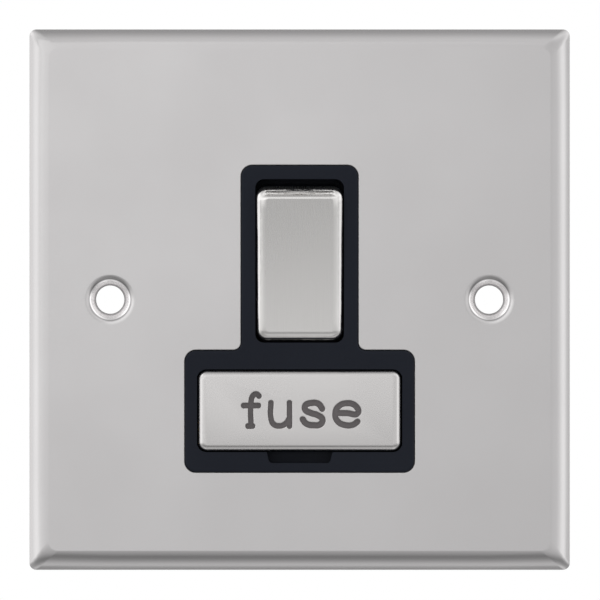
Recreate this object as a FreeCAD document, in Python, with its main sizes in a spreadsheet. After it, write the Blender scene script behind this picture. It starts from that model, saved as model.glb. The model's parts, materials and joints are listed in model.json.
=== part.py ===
import FreeCAD, Part
import math
import os
import re

import Sketcher
from FreeCAD import Placement, Rotation, Vector

# A fused spur unit: a single-gang wiring accessory with a double-pole rocker switch and a fuse
# drawer. Millimetres. +X is right, +Z is up and the front looks along -Y. The origin is the
# centre of the plate on the wall line. In the sketches "forward" is the distance from the wall
# line towards the front, so what lies behind the wall line has a negative forward value.

doc = FreeCAD.newDocument("fused_spur_unit")

driving = {
    # front plate, pressed from sheet
    "plate_side": 86.0,
    "plate_depth": 4.0,
    "plate_sheet": 1.2,
    "plate_corner": 1.1,
    "roll_radius": 4.0,
    "roll_angle": 50.0,
    "corner_growth": 0.12,
    "fixing_inset": 12.85,
    "fixing_hole_radius": 2.25,
    "dimple_radius": 3.4,
    "dimple_blend": 1.4,
    "dimple_wall": 0.8,
    "opening_gap": 0.12,
    # weld studs, washers and nuts behind the plate
    "stud_radius": 1.5,
    "stud_spare": 0.7,
    "washer_thickness": 0.5,
    "washer_radius": 3.2,
    "nut_height": 2.4,
    "nut_flats": 5.5,
    "thread_gap": 0.05,
    "hole_gap": 0.2,
    # black moulding
    "boss_proud": 0.4,
    "boss_edge": 0.35,
    "boss_wall": 2.2,
    "boss_end": 2.15,
    "shoulder_wall": 1.9,
    "shoulder_above": 2.98,
    "shoulder_below": 3.16,
    "boss_corner": 1.7,
    "neck_corner": 1.3,
    "flange_inset": 4.5,
    "flange_thickness": 2.0,
    "flange_corner": 4.0,
    "dimple_room": 0.7,
    "post_inset": 5.9,
    "post_high": 13.4,
    "post_low": -4.0,
    "post_radius": 2.6,
    # rocker and its window
    "rocker_centre": 6.15,
    "window_width": 14.1,
    "window_height": 26.0,
    "window_corner": 1.4,
    "pivot_depth": 1.8,
    "rocker_tilt": 7.0,
    "cap_reach": 7.6,
    "cap_depth": 4.0,
    "cap_side_gap": 0.2,
    "cap_end_gap": 0.6,
    "cap_side_taper": 0.3,
    "cap_end_taper": 0.75,
    "cap_corner": 1.5,
    "cap_edge": 0.9,
    "cap_sheet": 0.7,
    "cap_ease": 0.05,
    "skirt_side_gap": 0.4,
    "skirt_length": 2.6,
    "hub_height": 6.4,
    "hub_depth": 2.8,
    "trunnion_radius": 1.5,
    "trunnion_length": 1.8,
    "running_gap": 0.05,
    "ledge_length": 1.8,
    "ledge_depth": 2.0,
    "stop_gap": 0.06,
    # plungers and springs in the rocker's barrels
    "pole_offset": 3.4,
    "barrel_radius": 2.5,
    "barrel_bore": 1.75,
    "barrel_floor": 2.0,
    "barrel_length": 5.0,
    "plunger_back": 2.7,
    "plunger_neck": 1.7,
    "plunger_nose": 1.2,
    "spring_wire": 0.26,
    "spring_turns": 5.0,
    "spring_gap": 0.08,
    # see-saw contact arms
    "arm_height": 7.55,
    "arm_tilt": 8.5,
    "arm_thickness": 1.0,
    "arm_width": 3.2,
    "arm_up": 11.2,
    "arm_down": 6.4,
    "nose_gap": 0.15,
    "knuckle_radius": 1.2,
    "cradle_height": 3.8,
    "cradle_relief": 0.08,
    "contact_radius": 1.4,
    "contact_height": 0.8,
    "contact_reach": 9.5,
    "contact_gap": 0.05,
    "dome_radius": 2.5,
    # brass strips
    "strip_thickness": 0.8,
    "strip_width": 4.0,
    "strip_gap": 0.2,
    "strip_run": 3.4,
    "strip_corner": 0.6,
    # fuse drawer
    "fuse_centre": -17.66,
    "drawer_side_room": 3.6,
    "fuse_window_height": 13.15,
    "fuse_window_corner": 1.5,
    "drawer_proud": 0.8,
    "drawer_gap": 0.22,
    "drawer_cap_depth": 2.6,
    "drawer_cap_edge": 0.95,
    "drawer_front": 1.9,
    "cheek_thickness": 1.8,
    "cheek_inset": 1.0,
    "cheek_clear": 0.6,
    "hook_height": 3.0,
    "hook_proud": 0.7,
    "hook_length": 1.2,
    "groove_spare": 0.25,
    "groove_wall": 0.8,
    "chamber_clear": 1.0,
    "saddle_width": 9.0,
    "saddle_wall": 1.3,
    "saddle_lip": 1.2,
    "saddle_gap": 0.06,
    "notch_width": 10.5,
    "notch_floor_width": 9.6,
    "notch_height": 1.75,
    "notch_depth": 3.2,
    # cartridge fuse and its clips
    "fuse_length": 25.4,
    "fuse_radius": 3.17,
    "fuse_depth": 5.0,
    "end_cap_length": 5.8,
    "end_cap_sheet": 0.25,
    "end_cap_gap": 0.02,
    "clip_inset": 2.7,
    "clip_width": 4.4,
    "clip_sheet": 0.6,
    "clip_gap": 0.06,
    "clip_mouth": 2.3,
    "clip_flare": 0.9,
    "clip_foot": 2.0,
    # rear base
    "base_side_room": 3.3,
    "base_wall": 2.0,
    "base_depth": 19.2,
    "base_floor": 2.0,
    "base_corner": 3.0,
    "base_edge": 1.0,
    "rib_thickness": 1.4,
    "rib_height": 5.4,
    "rib_gap": 0.15,
    "screw_radius": 1.25,
    "screw_head_radius": 2.4,
    "screw_head_height": 1.2,
    "screw_length": 12.0,
    "slot_width": 0.7,
    "slot_depth": 0.6,
    # pillar terminals
    "terminal_room": 1.5,
    "terminal_rise": 4.32,
    "terminal_drop": 4.84,
    "terminal_width": 7.0,
    "terminal_depth": 7.0,
    "terminal_length": 8.4,
    "terminal_edge": 0.3,
    "wire_radius": 2.1,
    "wire_wall": 1.2,
    "entry_gap": 0.5,
    "clamp_radius": 1.6,
    "clamp_head_radius": 2.6,
    "clamp_head_height": 1.6,
    "clamp_backed_off": 0.15,
    "access_gap": 0.3,
    "earth_bore_offset": 4.2,
    "earth_width": 14.8,
    # earth strap
    "strap_share": 0.5,
    "strap_rise": 0.6,
    "strap_eye": 3.5,
    "tab_width": 2.8,
    "tab_thickness": 0.6,
    "tab_length": 4.8,
}

# What follows from the sizes above. Depths behind the wall line are positive here.
derived = {
    "plate_back": "plate_depth - plate_sheet",
    "fixing_reach": "plate_side / 2 - fixing_inset",
    "boss_front": "plate_depth + boss_proud",
    "flange_back": "plate_back - flange_thickness",
    "hump_radius": "dimple_radius + plate_sheet",
    "stud_end": "strip_thickness + washer_thickness + nut_height + stud_spare - flange_back",
    "flange_side": "plate_side - 2 * flange_inset",
    "boss_width": "window_width + 2 * boss_wall",
    "boss_top": "rocker_centre + window_height / 2 + boss_end",
    "fuse_window_width": "fuse_length + 2 * drawer_side_room",
    "shoulder_width": "fuse_window_width + 2 * shoulder_wall",
    "shoulder_top": "fuse_centre + fuse_window_height / 2 + shoulder_above",
    "shoulder_bottom": "fuse_centre - fuse_window_height / 2 - shoulder_below",
    # rocker, measured from its pivot
    "cap_base_width": "window_width - 2 * cap_side_gap",
    "cap_base_height": "window_height - 2 * cap_end_gap",
    "cap_face_width": "cap_base_width - 2 * cap_side_taper",
    "cap_face_height": "cap_base_height - 2 * cap_end_taper",
    "skirt_back": "cap_reach - cap_depth - skirt_length",
    "skirt_width": "window_width - 2 * (skirt_side_gap + running_gap)",
    "ledge_front": "cap_base_height / 2 * sin(rocker_tilt) - skirt_back * cos(rocker_tilt) + stop_gap",
    "chamber_back": "pivot_depth + ledge_front + ledge_depth",
    "plunger_radius": "barrel_bore - running_gap",
    "arm_axis": "base_depth - arm_height",
    "plunger_reach": "arm_axis - arm_thickness / 2 - nose_gap - plunger_nose - pivot_depth",
    "plunger_shoulder": "plunger_reach - plunger_neck",
    "spring_radius": "barrel_bore - spring_gap - spring_wire / 2",
    # contact arms
    "cradle_front": "arm_thickness / 2 + cradle_height / 2 * sin(arm_tilt) + cradle_relief",
    "pivot_strip": "arm_axis + arm_thickness / 2 + arm_down * sin(arm_tilt) + strip_gap",
    "contact_lift": "arm_thickness / 2 + contact_height + dome_radius + contact_gap",
    "dome_centre": "arm_axis + contact_lift * cos(arm_tilt) + contact_reach * sin(arm_tilt)",
    "contact_rise": "contact_reach * cos(arm_tilt) - contact_lift * sin(arm_tilt)",
    "contact_z": "rocker_centre + contact_rise",
    "fixed_strip": "dome_centre - dome_radius + contact_height",
    # fuse drawer
    "drawer_face": "boss_front + drawer_proud",
    "drawer_rim": "drawer_face - drawer_cap_depth",
    "drawer_back": "drawer_rim - drawer_front",
    "drawer_width": "fuse_window_width - 2 * drawer_gap",
    "drawer_height": "fuse_window_height - 2 * drawer_gap",
    "fuse_chamber_end": "base_depth - terminal_depth - chamber_clear",
    "cheek_end": "fuse_chamber_end - cheek_clear",
    "groove_end": "boss_front - groove_wall + stop_gap",
    "tube_radius": "fuse_radius - end_cap_sheet - end_cap_gap",
    "saddle_back": "fuse_depth + tube_radius + saddle_gap + saddle_wall",
    "clip_inside": "fuse_radius + clip_gap",
    "clip_reach": "fuse_length / 2 - clip_inset",
    # terminals and rear base
    "terminal_front": "base_depth - terminal_depth",
    "wire_depth": "terminal_front + wire_wall + wire_radius",
    "top_foot": "contact_z + strip_width / 2 + terminal_rise",
    "top_end": "top_foot + terminal_length",
    "base_top": "top_end + tab_thickness + base_wall",
    "bottom_foot": "fuse_centre - terminal_drop",
    "bottom_end": "bottom_foot - terminal_length",
    "base_bottom": "bottom_end - tab_thickness - base_wall",
    "strap_width": "(plate_side / 2 - plate_sheet - base_top) * strap_share",
    "top_screw": "top_end - terminal_length / 2",
    "bottom_screw": "bottom_end + terminal_length / 2",
    "base_back": "base_depth + base_floor",
    "clamp_seat": "base_depth + clamp_backed_off",
    "screw_seat": "base_back - screw_head_height",
    "base_width": "shoulder_width + 2 * (base_wall + base_side_room)",
    "terminal_reach": "base_width / 2 - base_wall - terminal_room - terminal_width / 2",
    "post_reach": "base_width / 2 - post_inset",
    "stud_reach": "(base_width + flange_side) / 4",
}

sizes = doc.addObject("Spreadsheet::Sheet", "sizes")
fits = doc.addObject("Spreadsheet::Sheet", "fits")


def bound(text):
    # Names the sheet of each size that an expression uses.
    def owned(match):
        word = match[0]
        sheet = "sizes" if word in driving else "fits" if word in derived else None
        return f"{sheet}.{word}" if sheet else word

    return re.sub(r"[a-z_]+", owned, str(text))


def number(text):
    return float(sizes.evalExpression(bound(text)))


for row, (alias, value) in enumerate(driving.items(), start=1):
    sizes.set(f"A{row}", alias)
    sizes.set(f"B{row}", str(value))
    sizes.setAlias(f"B{row}", alias)
doc.recompute()
for row, (alias, text) in enumerate(derived.items(), start=1):
    fits.set(f"A{row}", alias)
    fits.set(f"B{row}", f"={bound(text)}")
    fits.setAlias(f"B{row}", alias)
    doc.recompute()

pieces = []


def new_body(label):
    body = doc.addObject("PartDesign::Body", label)
    body.Label = label
    body.AllowCompound = True
    pieces.append(body)
    return body


def place(body, across="0", depth="0", height="0", tilt=None):
    # Puts the body's own origin at a depth behind the wall line, turned about +X by tilt.
    turn = Rotation()
    if tilt:
        axis = Vector(-1, 0, 0) if tilt.startswith("-") else Vector(1, 0, 0)
        turn = Rotation(axis, number(tilt.lstrip("-")))
    body.Placement = Placement(Vector(number(across), number(depth), number(height)), turn)
    body.setExpression("Placement.Base.x", bound(across))
    body.setExpression("Placement.Base.y", bound(depth))
    body.setExpression("Placement.Base.z", bound(height))
    if tilt:
        body.setExpression("Placement.Rotation.Angle", bound(tilt.lstrip("-")))


def sketch_on(body, name, role="XZ_Plane", lift="0", shift="0", rise="0"):
    # XZ_Plane faces the front: its lift is forward. XY_Plane holds X and depth, YZ_Plane depth and Z.
    sketch = body.newObject("Sketcher::SketchObject", name)
    plane = next(item for item in body.Origin.OriginFeatures if item.Role == role)
    sketch.AttachmentSupport = [(plane, "")]
    sketch.MapMode = "FlatFace"
    for axis, text in (("x", shift), ("y", rise), ("z", lift)):
        sketch.setExpression(f"AttachmentOffset.Base.{axis}", bound(text))
    return sketch


def constrain(sketch, rules):
    # Adds the rules together, then binds those that carry a formula.
    made = sketch.addConstraint([rule for rule, _ in rules])
    for index, (_, text) in zip(made, rules):
        if text is not None:
            sketch.setExpression(f"Constraints[{index}]", bound(text))


def pinned(point, end, x, y):
    # Holds one point of a sketch at two expressions.
    return [
        (Sketcher.Constraint("DistanceX", -1, 1, point, end, number(x)), x),
        (Sketcher.Constraint("DistanceY", -1, 1, point, end, number(y)), y),
    ]


def circle(sketch, x, y, radius):
    ring = Part.Circle(Vector(number(x), number(y), 0), Vector(0, 0, 1), number(radius))
    index = sketch.addGeometry(ring, False)
    size = Sketcher.Constraint("Radius", index, number(radius))
    constrain(sketch, pinned(index, 3, x, y) + [(size, radius)])


def outline(sketch, corners):
    # A closed outline through corners (x, y) or (x, y, radius), each given as expressions.
    points = [Vector(number(c[0]), number(c[1]), 0) for c in corners]
    radii = [number(c[2]) if len(c) == 3 else 0.0 for c in corners]
    count = len(corners)
    before = [(points[i - 1] - points[i]).normalize() for i in range(count)]
    after = [(points[(i + 1) % count] - points[i]).normalize() for i in range(count)]
    half = [before[i].getAngle(after[i]) / 2 for i in range(count)]
    trim = [radii[i] / math.tan(half[i]) for i in range(count)]
    leave = [points[i] + after[i] * trim[i] for i in range(count)]
    reach = [points[i] + before[i] * trim[i] for i in range(count)]
    edges = []
    for i in range(count):
        line = Part.LineSegment(leave[i], reach[(i + 1) % count])
        edges.append(sketch.addGeometry(line, False))
    rules = []
    for i, corner in enumerate(corners):
        mark = sketch.addGeometry(Part.Point(points[i]), True)
        rules += pinned(mark, 1, corner[0], corner[1])
        if not radii[i]:
            rules.append((Sketcher.Constraint("Coincident", edges[i - 1], 2, mark, 1), None))
            rules.append((Sketcher.Constraint("Coincident", edges[i], 1, mark, 1), None))
            continue
        inward = (before[i] + after[i]).normalize()
        centre = points[i] + inward * (radii[i] / math.sin(half[i]))
        left_turn = before[i].cross(after[i]).z < 0
        ends = [reach[i], leave[i]] if left_turn else [leave[i], reach[i]]
        low, high = [math.atan2(end.y - centre.y, end.x - centre.x) for end in ends]
        ring = Part.Circle(centre, Vector(0, 0, 1), radii[i])
        arc = sketch.addGeometry(Part.ArcOfCircle(ring, low, high), False)
        start = 1 if left_turn else 2
        rules.append((Sketcher.Constraint("Tangent", edges[i - 1], 2, arc, start), None))
        rules.append((Sketcher.Constraint("Tangent", edges[i], 1, arc, 3 - start), None))
        rules.append((Sketcher.Constraint("Radius", arc, radii[i]), corner[2]))
        rules.append((Sketcher.Constraint("PointOnObject", mark, 1, edges[i - 1]), None))
        rules.append((Sketcher.Constraint("PointOnObject", mark, 1, edges[i]), None))
    constrain(sketch, rules)


def rectangle(sketch, left, right, low, high, radius=None):
    corners = [(left, low), (right, low), (right, high), (left, high)]
    outline(sketch, [c + (radius,) if radius else c for c in corners])


def block(sketch, x, y, width, height, radius=None):
    # A rectangle about its centre.
    sides = [f"{x} - ({width}) / 2", f"{x} + ({width}) / 2"]
    rectangle(sketch, *sides, f"{y} - ({height}) / 2", f"{y} + ({height}) / 2", radius)


def pad(body, sketch, length):
    feature = body.newObject("PartDesign::Pad", f"{sketch.Name}_pad")
    feature.Profile = sketch
    feature.setExpression("Length", bound(length))
    doc.recompute()
    return feature


def pocket(body, sketch, length, along_normal=False):
    # Cuts against the sketch's normal, or along it, and makes sure that something was cut.
    before = body.Shape.Volume
    feature = body.newObject("PartDesign::Pocket", f"{sketch.Name}_pocket")
    feature.Profile = sketch
    feature.Reversed = along_normal
    feature.setExpression("Length", bound(length))
    doc.recompute()
    if not body.Shape.Volume < before:
        raise ValueError(f"{feature.Name} cuts nothing")
    return feature


def loft(body, kind, low, *higher):
    # Straight sides between two outlines, and smooth ones through more.
    feature = body.newObject(f"PartDesign::{kind}", f"{low.Name}_loft")
    feature.Profile = low
    feature.Sections = list(higher)
    feature.Ruled = len(higher) == 1
    doc.recompute()
    return feature


def turned(body, kind, sketch):
    # A full turn about the sketch's upright axis.
    feature = body.newObject(f"PartDesign::{kind}", f"{sketch.Name}_turned")
    feature.Profile = sketch
    feature.ReferenceAxis = (sketch, ["V_Axis"])
    feature.Angle = 360
    doc.recompute()
    return feature


def rounded(body, feature, chosen, radius):
    # Rounds the edges that a test chooses.
    edges = [f"Edge{n}" for n, edge in enumerate(feature.Shape.Edges, start=1) if chosen(edge)]
    fillet = body.newObject("PartDesign::Fillet", f"{feature.Name}_round")
    fillet.Base = (feature, edges)
    fillet.setExpression("Radius", bound(radius))
    doc.recompute()
    return fillet


def at_depth(edge, depth):
    box = edge.BoundBox
    return abs(box.YMin - depth) < 1e-4 and abs(box.YMax - depth) < 1e-4


def disc(body, name, x, z, radius, front, length, bore=None):
    # Round pads that run back from a forward value; x and z list the centres.
    sketch = sketch_on(body, name, lift=f"{front} - ({length})")
    for across, height in zip(x, z):
        circle(sketch, across, height, radius)
        if bore:
            circle(sketch, across, height, bore)
    return pad(body, sketch, length)


def slot(body, name, x, z, front, back):
    # A screwdriver slot in each round head, cut forward from the head's rear face.
    sketch = sketch_on(body, name, lift=f"-({back})")
    for across, height in zip(x, z):
        block(sketch, across, height, front, "slot_width")
    return pocket(body, sketch, "slot_depth", along_normal=True)


# The plate's rolled edge is lofted through this many steps.
ROLL_STEPS = 5

# Places that several pieces share
stud_x = ["stud_reach", "-stud_reach", "-stud_reach", "stud_reach"]
stud_z = ["stud_reach", "stud_reach", "-stud_reach", "-stud_reach"]
post_x = ["post_reach", "-post_reach", "-post_reach", "post_reach"]
post_z = ["post_high", "post_high", "post_low", "post_low"]
clamp_x = ["terminal_reach", "-terminal_reach", "earth_bore_offset", "-earth_bore_offset"]
clamp_x += ["-terminal_reach", "0"]
clamp_z = ["top_screw"] * 4 + ["bottom_screw"] * 2
poles = (("live", "pole_offset"), ("neutral", "-pole_offset"))


def boss_outline(sketch, gap):
    # The inverted T, wider all round by the gap.
    half, wide = f"boss_width / 2 + {gap}", f"shoulder_width / 2 + {gap}"
    top, neck, low = f"boss_top + {gap}", f"shoulder_top + {gap}", f"shoulder_bottom - {gap}"
    outer, inner = f"boss_corner + {gap}", f"neck_corner - {gap}"
    right = [(wide, low, outer), (wide, neck, outer), (half, neck, inner), (half, top, outer)]
    left = [(f"-({x})", z, radius) for x, z, radius in reversed(right)]
    outline(sketch, right + left)


def make_front_plate():
    body = new_body("front_plate")

    def rolled(name, sheet, growth):
        # Outlines up the rolled edge, which turns from the roll's angle at the rim to flat. Their
        # corners open out as they rise.
        made = []
        for step in range(ROLL_STEPS + 1):
            turn = f"roll_angle * {1 - step / ROLL_STEPS:.2f}"
            level = f"plate_depth - roll_radius * (1 - cos({turn})) - {sheet} * cos({turn})"
            inset = f"roll_radius * (sin(roll_angle) - sin({turn})) + {sheet} * sin({turn})"
            side = f"plate_side - 2 * ({inset})"
            made.append(sketch_on(body, f"{name}_{step}", lift=level))
            block(made[-1], "0", "0", side, side, f"plate_corner + ({inset}) * {growth}")
        return made

    rim_height = "plate_depth - roll_radius * (1 - cos(roll_angle))"
    rim = sketch_on(body, "plate_rim")
    block(rim, "0", "0", "plate_side", "plate_side", "plate_corner")
    pad(body, rim, rim_height)
    loft(body, "AdditiveLoft", *rolled("roll", "0", "corner_growth"))
    # The hollow behind follows the same roll, one sheet inside it.
    back = sketch_on(body, "hollow_back")
    inner_side = "plate_side - 2 * plate_sheet * sin(roll_angle)"
    inner_corner = "plate_corner + plate_sheet * sin(roll_angle) * corner_growth"
    block(back, "0", "0", inner_side, inner_side, inner_corner)
    pocket(body, back, f"{rim_height} - plate_sheet * cos(roll_angle)", along_normal=True)
    loft(body, "SubtractiveLoft", *rolled("hollow", "plate_sheet", "corner_growth"))
    opening = sketch_on(body, "plate_opening", lift="boss_front")
    boss_outline(opening, "opening_gap")
    pocket(body, opening, "boss_front")
    # Each fixing hole sits in a pressed dimple: a hump behind, a cone and a short wall in front.
    throat = "plate_depth - dimple_radius + fixing_hole_radius"
    hump = sketch_on(body, "dimple_hump", role="XY_Plane", shift="fixing_reach")
    back_of_wall = f"dimple_wall - ({throat})"
    outline(hump, [
        ("0", "-plate_back - plate_sheet / 4"),
        ("hump_radius + plate_sheet / 4", "-plate_back - plate_sheet / 4"),
        ("fixing_hole_radius + plate_sheet", back_of_wall),
        ("0", back_of_wall),
    ])
    hump_solid = turned(body, "Revolution", hump)
    cone = sketch_on(body, "dimple_cone", role="XY_Plane", shift="fixing_reach")
    outline(cone, [
        ("0", "-plate_depth"),
        ("dimple_radius", "-plate_depth"),
        ("fixing_hole_radius", f"-({throat})"),
        ("fixing_hole_radius", f"{back_of_wall} + plate_sheet"),
        ("0", f"{back_of_wall} + plate_sheet"),
    ])
    cone_cut = turned(body, "Groove", cone)
    pair = body.newObject("PartDesign::Mirrored", "dimple_pair")
    pair.Originals = [hump_solid, cone_cut]
    pair.MirrorPlane = (next(i for i in body.Origin.OriginFeatures if i.Role == "YZ_Plane"), [""])
    body.Tip = pair
    doc.recompute()
    rounded(
        body,
        pair,
        lambda edge: at_depth(edge, -number("plate_depth"))
        and isinstance(edge.Curve, Part.Circle)
        and abs(edge.Curve.Radius - number("dimple_radius")) < 1e-4,
        "dimple_blend",
    )


def make_plate_fasteners():
    studs = new_body("plate_studs")
    disc(studs, "stud", stud_x, stud_z, "stud_radius", "plate_back", "plate_back + stud_end")
    washers = new_body("stud_washers")
    nuts = new_body("stud_nuts")
    # The first stud also clamps the earth strap, so its washer and nut stand further back.
    for name, chosen, seat in (("earth", [0], "strip_thickness"), ("plain", [1, 2, 3], "0")):
        x = [stud_x[i] for i in chosen]
        z = [stud_z[i] for i in chosen]
        front = f"flange_back - {seat}"
        bore = "stud_radius + hole_gap"
        disc(washers, f"{name}_washer", x, z, "washer_radius", front, "washer_thickness", bore)
        nut = sketch_on(nuts, f"{name}_nut", lift=f"{front} - washer_thickness - nut_height")
        for across, height in zip(x, z):
            circle(nut, across, height, "stud_radius + thread_gap")
            corner = "nut_flats / 2 / cos(30)"
            outline(nut, [
                (f"{across} + {corner} * cos({turn})", f"{height} + {corner} * sin({turn})")
                for turn in range(0, 360, 60)
            ])
        pad(nuts, nut, "nut_height")


def make_insert_moulding():
    body = new_body("insert_moulding")
    boss = sketch_on(body, "boss", lift="plate_back")
    boss_outline(boss, "0")
    boss_pad = pad(body, boss, "boss_front - plate_back")
    rounded(body, boss_pad, lambda edge: at_depth(edge, -number("boss_front")), "boss_edge")
    flange = sketch_on(body, "flange", lift="flange_back")
    block(flange, "0", "0", "flange_side", "flange_side", "flange_corner")
    pad(body, flange, "flange_thickness")
    rocker_chamber = sketch_on(body, "rocker_chamber", lift="-chamber_back")
    half = "boss_width / 2"
    rectangle(rocker_chamber, f"-{half}", half, "shoulder_top", "boss_top", "boss_corner")
    pad(body, rocker_chamber, "chamber_back + flange_back")
    fuse_chamber = sketch_on(body, "fuse_chamber", lift="-fuse_chamber_end")
    half = "shoulder_width / 2"
    rectangle(fuse_chamber, f"-{half}", half, "shoulder_bottom", "shoulder_top", "boss_corner")
    pad(body, fuse_chamber, "fuse_chamber_end + flange_back")
    disc(body, "post", post_x, post_z, "post_radius", "flange_back", "base_depth + flange_back")
    # Windows: each ends in two ledges, which stop the rocker's tilt and the drawer when it is shut.
    window = sketch_on(body, "rocker_window", lift="boss_front")
    block(window, "0", "rocker_centre", "window_width", "window_height", "window_corner")
    pocket(body, window, "boss_front + pivot_depth + ledge_front")
    passage = sketch_on(body, "rocker_passage", lift="boss_front")
    passage_height = "window_height - 2 * ledge_length"
    block(passage, "0", "rocker_centre", "window_width", passage_height, "window_corner")
    pocket(body, passage, "boss_front + chamber_back")
    drawer = sketch_on(body, "fuse_window", lift="boss_front")
    size = ("fuse_window_width", "fuse_window_height", "fuse_window_corner")
    block(drawer, "0", "fuse_centre", *size)
    pocket(body, drawer, "boss_front - drawer_back + stop_gap")
    way_in = sketch_on(body, "drawer_passage", lift="boss_front")
    way_height = "drawer_height - 2 * (cheek_inset - drawer_gap)"
    block(way_in, "0", "fuse_centre", "fuse_window_width", way_height)
    pocket(body, way_in, "boss_front + fuse_chamber_end")
    notch = sketch_on(body, "notch", lift="boss_front")
    edge = "fuse_centre - fuse_window_height / 2"
    outline(notch, [
        ("-notch_width / 2", f"{edge} + notch_height"),
        ("notch_width / 2", f"{edge} + notch_height"),
        ("notch_width / 2", f"{edge}"),
        ("notch_floor_width / 2", f"{edge} - notch_height", "strip_corner"),
        ("-notch_floor_width / 2", f"{edge} - notch_height", "strip_corner"),
        ("-notch_width / 2", f"{edge}"),
    ])
    pocket(body, notch, "notch_depth")
    grooves = sketch_on(body, "hook_grooves", lift="-fuse_chamber_end")
    groove_width = "fuse_window_width + 2 * (hook_proud + groove_spare)"
    block(grooves, "0", "fuse_centre", groove_width, "hook_height + 2 * groove_spare")
    pocket(body, grooves, "fuse_chamber_end + groove_end", along_normal=True)
    # Bearings for the trunnions, stud holes, room for the dimples and pilots in the posts
    end = "skirt_width / 2 + trunnion_length + hole_gap"
    bearing = sketch_on(body, "bearing", role="YZ_Plane", lift=end)
    circle(bearing, "pivot_depth", "rocker_centre", "trunnion_radius + running_gap")
    pocket(body, bearing, f"2 * ({end})")
    holes = sketch_on(body, "stud_holes", lift="plate_back")
    for across, height in zip(stud_x, stud_z):
        circle(holes, across, height, "stud_radius + hole_gap")
    for across in ("fixing_reach", "-fixing_reach"):
        circle(holes, across, "0", "hump_radius + dimple_room")
    pocket(body, holes, "flange_thickness")
    pilots = sketch_on(body, "pilots", lift="-base_depth")
    for across, height in zip(post_x, post_z):
        circle(pilots, across, height, "screw_radius + thread_gap")
    pocket(body, pilots, "screw_length", along_normal=True)


def make_rocker():
    hold = {"depth": "pivot_depth", "height": "rocker_centre", "tilt": "rocker_tilt"}
    rim = "cap_reach - cap_depth"
    base = ("cap_base_width", "cap_base_height")
    face = ("cap_face_width", "cap_face_height")

    def tapered(body, kind, name, inset, top, radius):
        low = sketch_on(body, f"{name}_low", lift=rim)
        block(low, "0", "0", *[f"{side} - 2 * ({inset})" for side in base], radius)
        high = sketch_on(body, f"{name}_high", lift=top)
        block(high, "0", "0", *[f"{side} - 2 * ({inset})" for side in face], radius)
        return loft(body, kind, low, high)

    cap = new_body("rocker_cap")
    place(cap, **hold)
    skin = tapered(cap, "AdditiveLoft", "cap_skin", "0", "cap_reach", "cap_corner")
    rounded(cap, skin, lambda edge: at_depth(edge, -number("cap_reach")), "cap_edge")
    hollow = "cap_corner - cap_sheet"
    tapered(cap, "SubtractiveLoft", "cap_hollow", "cap_sheet", "cap_reach - cap_sheet", hollow)

    body = new_body("rocker_body")
    place(body, **hold)
    inset = "cap_sheet + cap_ease"
    tapered(body, "AdditiveLoft", "plug", inset, "cap_reach - cap_sheet - cap_ease", hollow)
    skirt = sketch_on(body, "skirt", lift="skirt_back")
    block(skirt, "0", "0", "skirt_width", "cap_base_height", "cap_corner")
    pad(body, skirt, "skirt_length")
    hub = sketch_on(body, "hub", lift="skirt_back - hub_depth")
    block(hub, "0", "0", "skirt_width", "hub_height", "strip_corner")
    pad(body, hub, "hub_depth")
    x = ["pole_offset", "-pole_offset"]
    barrel_reach = "skirt_back + barrel_length"
    disc(body, "barrels", x, ["0", "0"], "barrel_radius", "skirt_back", barrel_reach)
    bores = sketch_on(body, "barrel_bores", lift="-barrel_length")
    for across in x:
        circle(bores, across, "0", "barrel_bore")
    pocket(body, bores, "barrel_length + barrel_floor", along_normal=True)
    end = "skirt_width / 2 + trunnion_length"
    trunnions = sketch_on(body, "trunnions", role="YZ_Plane", lift=f"-({end})")
    circle(trunnions, "0", "0", "trunnion_radius")
    pad(body, trunnions, "trunnion_length")
    other = sketch_on(body, "other_trunnion", role="YZ_Plane", lift="skirt_width / 2")
    circle(other, "0", "0", "trunnion_radius")
    pad(body, other, "trunnion_length")

    for pole, across in poles:
        plunger = new_body(f"{pole}_plunger")
        place(plunger, **hold)
        form = sketch_on(plunger, f"{pole}_plunger_form", role="XY_Plane", shift=across)
        outline(form, [
            ("0", "plunger_back"),
            ("plunger_radius", "plunger_back"),
            ("plunger_radius", "plunger_shoulder"),
            ("plunger_nose", "plunger_shoulder + plunger_radius - plunger_nose"),
            ("plunger_nose", "plunger_reach + plunger_nose", "plunger_nose - thread_gap"),
            ("0", "plunger_reach + plunger_nose"),
        ])
        turned(plunger, "Revolution", form)
        spring = new_body(f"{pole}_plunger_spring")
        place(spring, **hold)
        wire = sketch_on(spring, f"{pole}_spring_wire", role="XY_Plane", shift=across)
        circle(wire, "spring_radius", "spring_wire / 2 - barrel_floor", "spring_wire / 2")
        coil = spring.newObject("PartDesign::AdditiveHelix", f"{pole}_spring_coil")
        coil.Profile = wire
        coil.ReferenceAxis = (wire, ["V_Axis"])
        coil.Mode = "height-turns-angle"
        room = "barrel_floor + plunger_back - spring_wire"
        coil.setExpression("Height", bound(room))
        coil.setExpression("Turns", bound("spring_turns"))
        doc.recompute()


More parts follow.
